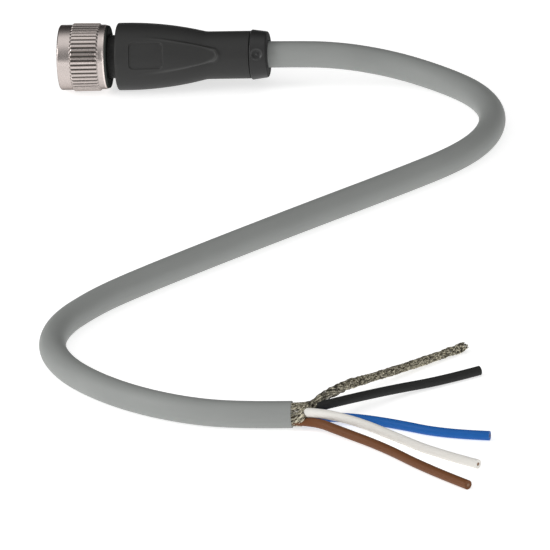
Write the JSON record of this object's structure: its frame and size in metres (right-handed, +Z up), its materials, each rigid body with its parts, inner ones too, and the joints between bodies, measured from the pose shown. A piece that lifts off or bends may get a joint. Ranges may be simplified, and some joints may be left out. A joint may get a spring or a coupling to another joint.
{
  "type": "m12 connector cordset",
  "caption": "Straight shielded female M12 connector with a knurled coupling nut and black moulded grip, on a grey cable with a cut end, a braid pigtail and fanned coloured cores.",
  "frame": {"origin": "on the surface that the cordset lies on, under the middle of the connector's length", "axes": "+X along the connector's axis from the mating face to the cable exit, +Z up"},
  "size_m": [0.1183, 0.2389, 0.015],
  "materials": {
    "nickel": "satin nickel plate",
    "sleeve_metal": "turned, nickel plated",
    "spring_steel": "bright",
    "grip_black": "fine matt texture",
    "mould_black": "smooth satin",
    "carrier_black": "satin",
    "contact_gold": "gold plated",
    "seal_rubber": "matt",
    "jacket_grey": "matt",
    "braid_tin": "dull tinned copper wires",
    "core_brown": "satin",
    "core_white": "satin",
    "core_blue": "satin",
    "core_black": "satin",
    "copper": "bright copper"
  },
  "bodies": {
    "connector": {"front_seal": "seal_rubber", "contact_carrier": "carrier_black", "contact_brown": "contact_gold", "contact_white": "contact_gold", "contact_blue": "contact_gold", "contact_black": "contact_gold", "shield_sleeve": "sleeve_metal", "crimp_ferrule": "sleeve_metal", "inner_mould": "mould_black", "grip": "grip_black", "cable_jacket": "jacket_grey", "cable_braid": "braid_tin", "core_brown": "core_brown", "core_white": "core_white", "core_blue": "core_blue", "core_black": "core_black", "conductor_brown": "copper", "conductor_white": "copper", "conductor_blue": "copper", "conductor_black": "copper"},
    "ring": {"shield_spring": "spring_steel"},
    "nut": {"coupling_nut": "nickel"}
  },
  "joints": [
    {"name": "nut_slide", "type": "slide", "parent": "connector", "child": "ring", "axis": [1, 0, 0], "range_m": [0, 0.0016]},
    {"name": "nut_spin", "type": "hinge", "parent": "ring", "child": "nut", "pos_m": [-0.0135, 0, 0.0075], "axis": [1, 0, 0], "continuous": true}
  ]
}
